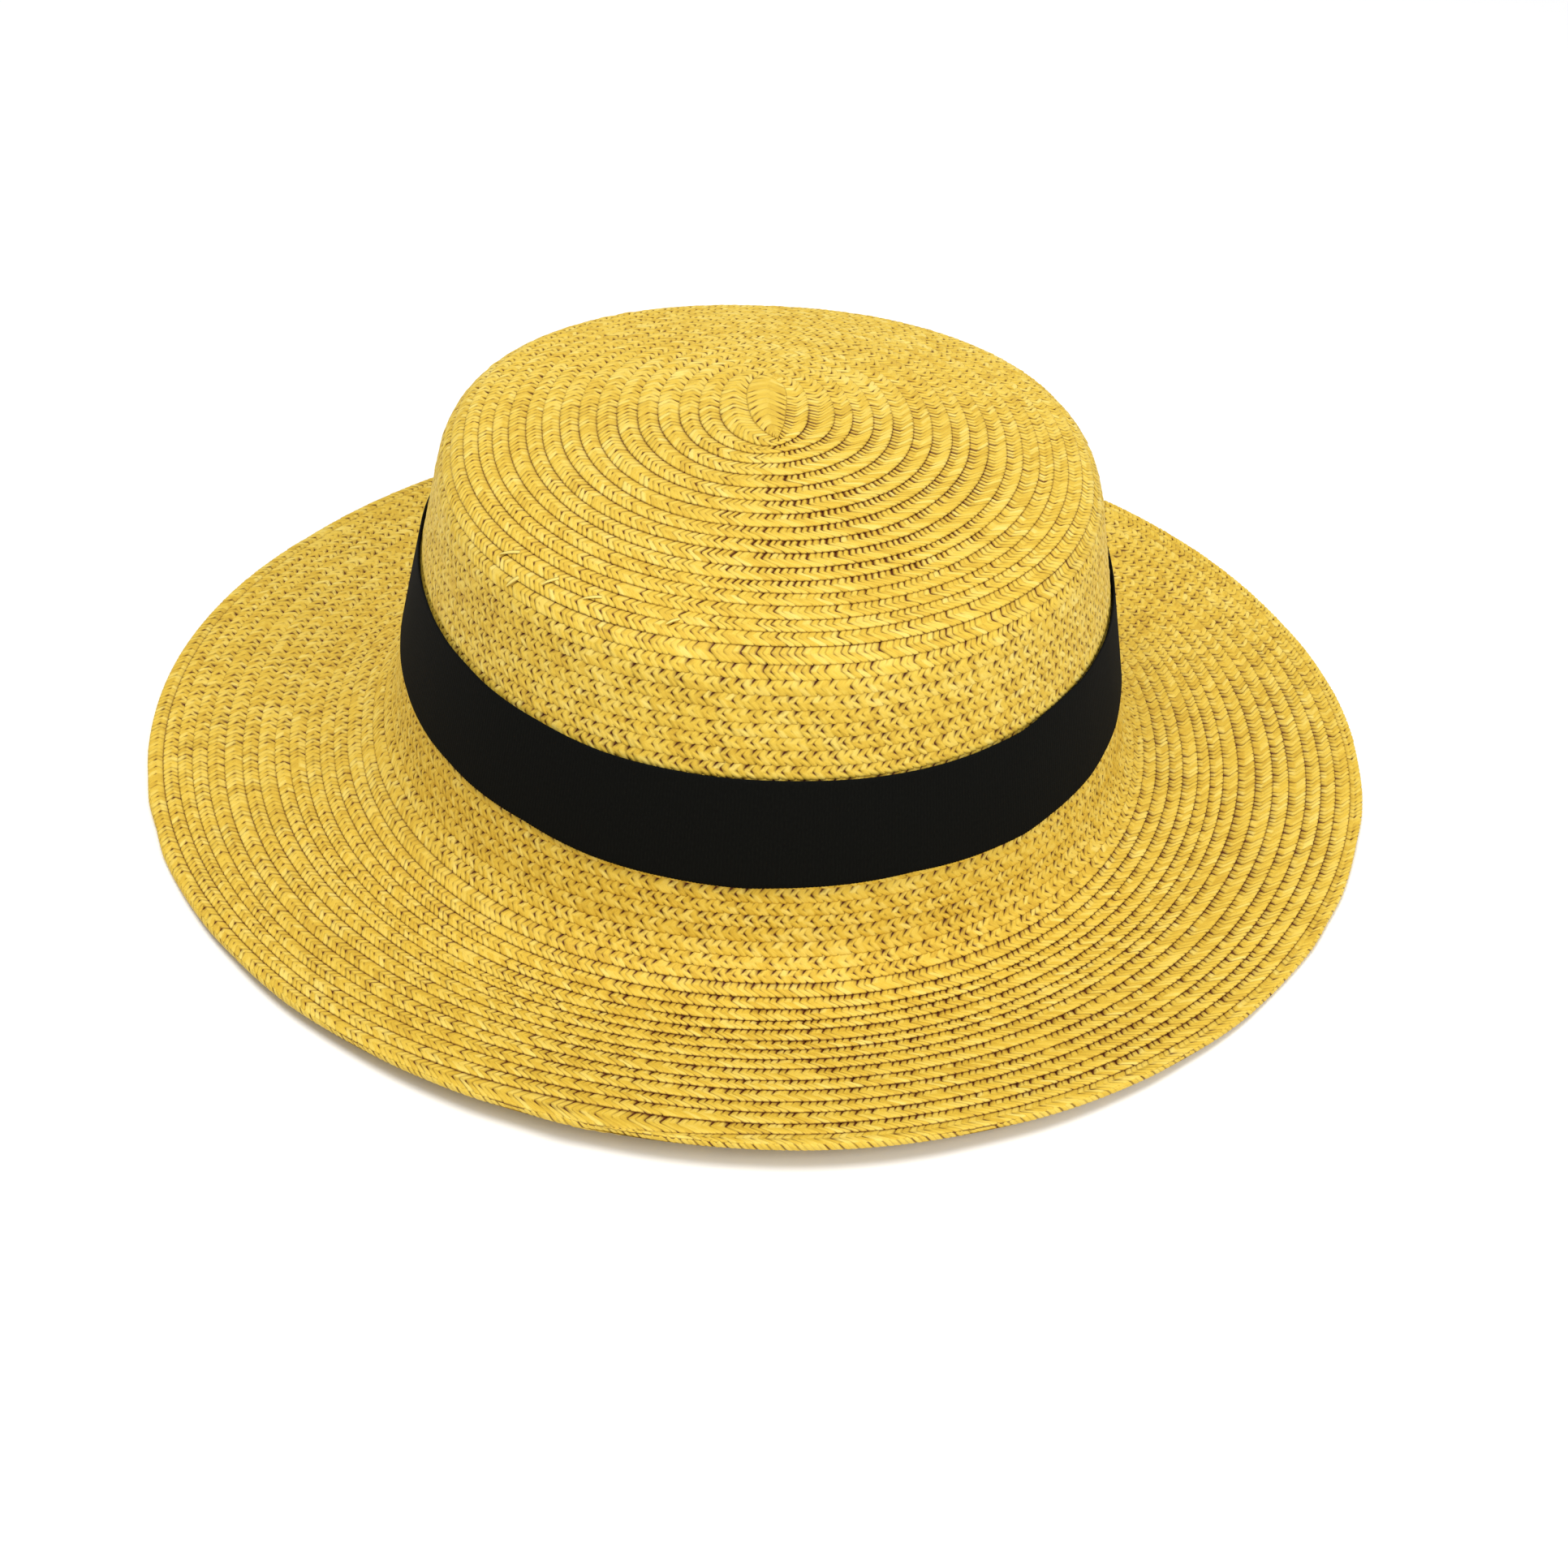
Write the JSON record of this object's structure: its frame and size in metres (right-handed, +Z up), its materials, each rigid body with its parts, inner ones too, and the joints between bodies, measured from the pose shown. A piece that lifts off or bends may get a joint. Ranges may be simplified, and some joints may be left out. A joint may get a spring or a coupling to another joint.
{
  "type": "straw boater hat",
  "caption": "Straw boater hat with an oval crown, a flared brim of sewn braid rows and a plain ribbon band.",
  "frame": {"origin": "on the surface the hat stands on, below the middle of the crown", "axes": "+Z up through the crown, -Y towards the front of the hat, +Y along its longest extent"},
  "size_m": [0.2978, 0.324, 0.0909],
  "materials": {
    "crown_straw": "sewn braid of flattened straw strands, satin",
    "brim_straw": "sewn braid of flattened straw strands, satin",
    "band_ribbon": "fine ribbed ribbon, matt"
  },
  "bodies": {
    "root": {"crown": "crown_straw", "brim": "brim_straw", "hat_band": "band_ribbon"}
  },
  "joints": []
}
